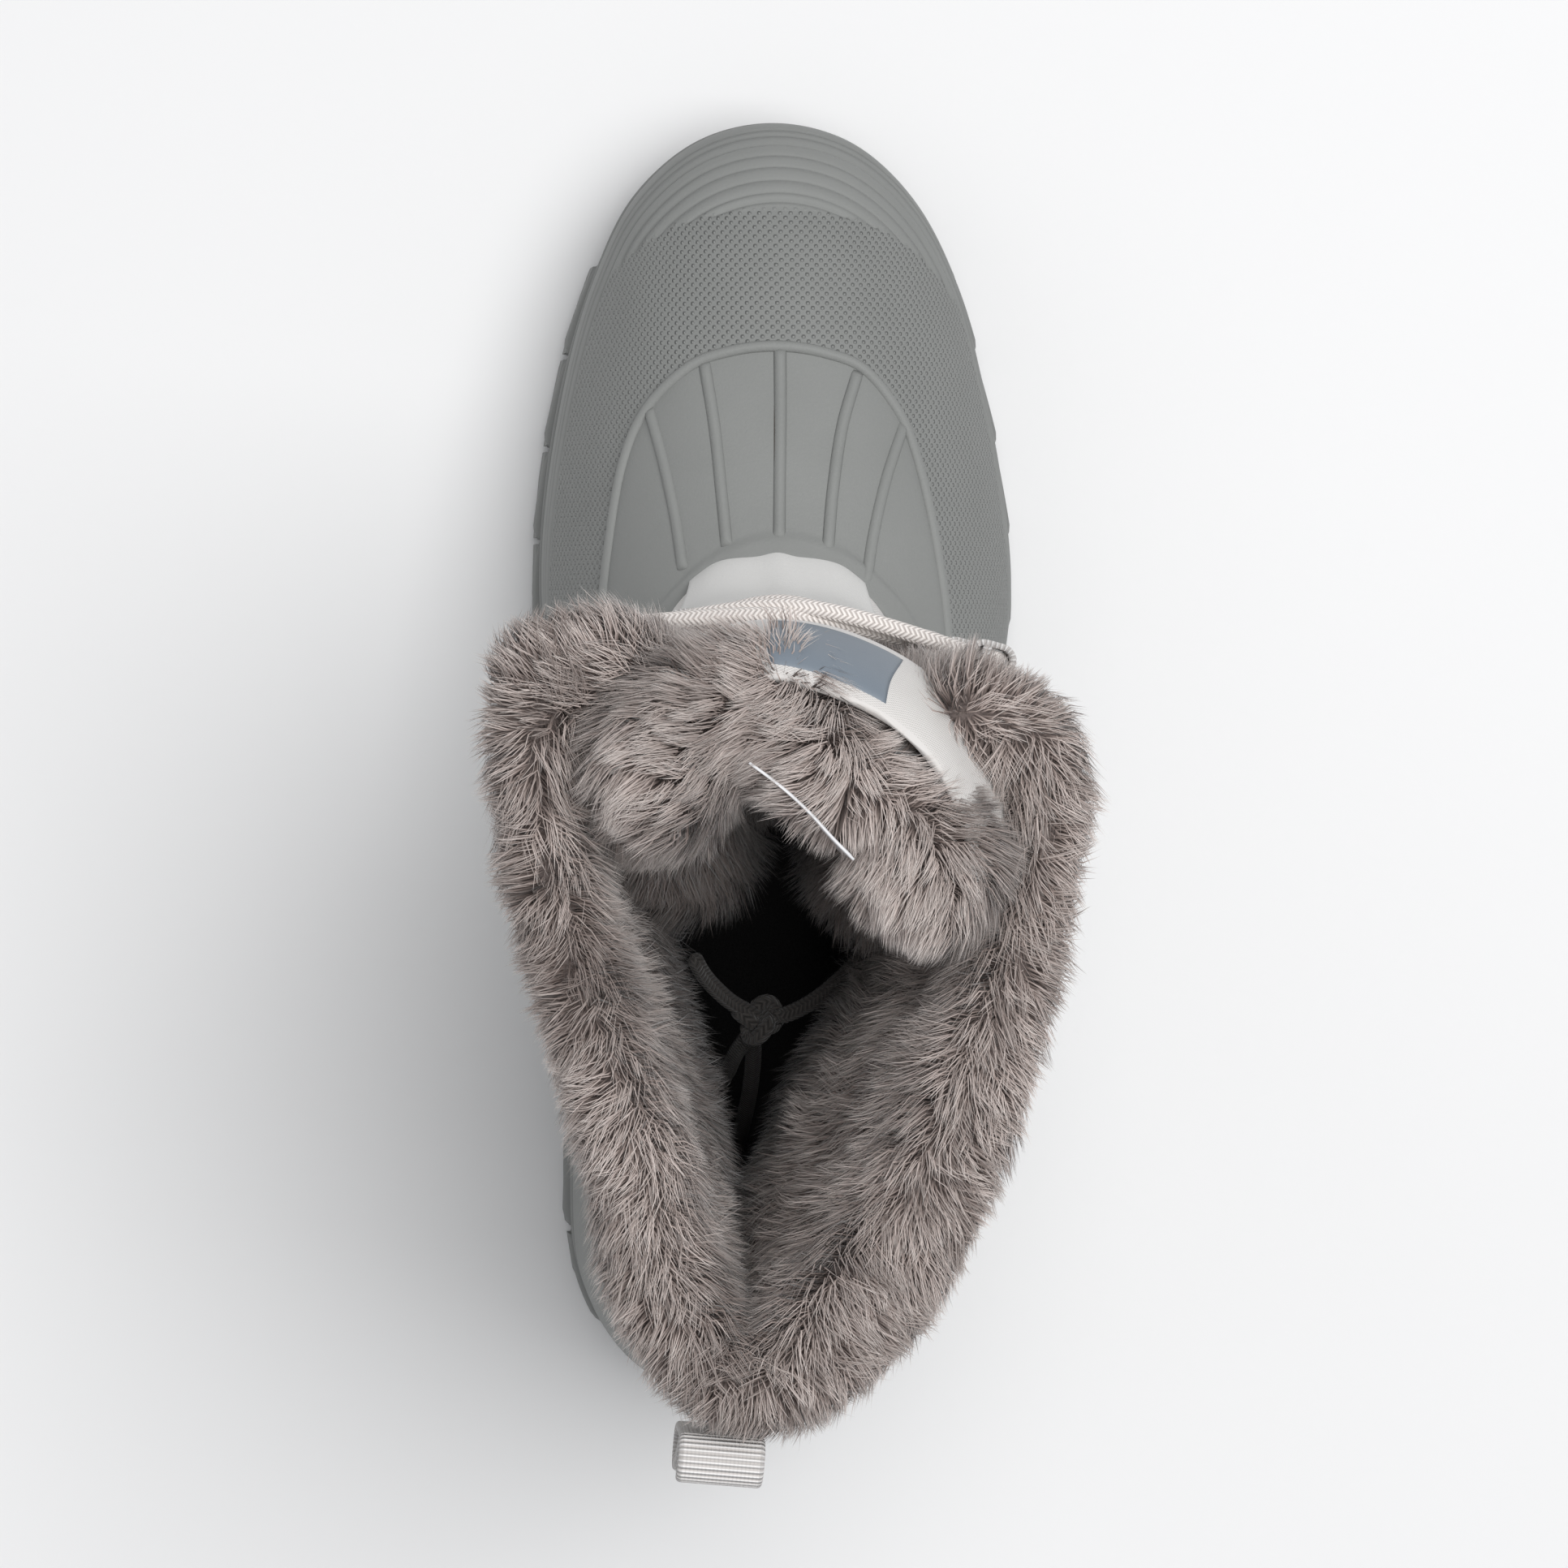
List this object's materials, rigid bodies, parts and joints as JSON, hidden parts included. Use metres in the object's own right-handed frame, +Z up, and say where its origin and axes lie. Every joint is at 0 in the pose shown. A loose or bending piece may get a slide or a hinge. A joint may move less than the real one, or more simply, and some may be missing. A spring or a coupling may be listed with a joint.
{
  "type": "snow boot",
  "caption": "Lace-up snow boot for the right foot: moulded rubber shell and lugged sole, nylon shaft with deep fur lining and collar, curled tongue, pull loop.",
  "frame": {"origin": "on the ground under the middle of the heel, on the tread's rest face", "axes": "+Z up, +Y towards the toe, +X towards the outer side of the right foot"},
  "size_m": [0.1195, 0.2873, 0.254],
  "materials": {
    "tread_rubber": "matte moulded rubber, mid grey",
    "shell_rubber": "matte moulded rubber, mid grey, part smooth and part pebbled",
    "nylon": "off-white woven nylon and smooth coated cloth",
    "fur": "deep brown-grey pile with paler tips",
    "felt": "short felt pile",
    "cord": "off-white round braid",
    "webbing": "off-white ribbed webbing"
  },
  "bodies": {
    "root": {"outsole": "tread_rubber", "shell": "shell_rubber", "shaft": "nylon", "tongue": "fur", "insole": "felt", "pull_loop": "webbing", "lace_loop_inner_1": "webbing", "lace_loop_inner_2": "webbing", "lace_loop_inner_3": "webbing", "lace_loop_inner_4": "webbing", "lace_loop_outer_1": "webbing", "lace_loop_outer_2": "webbing", "lace_loop_outer_3": "webbing", "lace_loop_outer_4": "webbing", "lace_crossings": "cord", "lace_ends": "cord"}
  },
  "joints": []
}
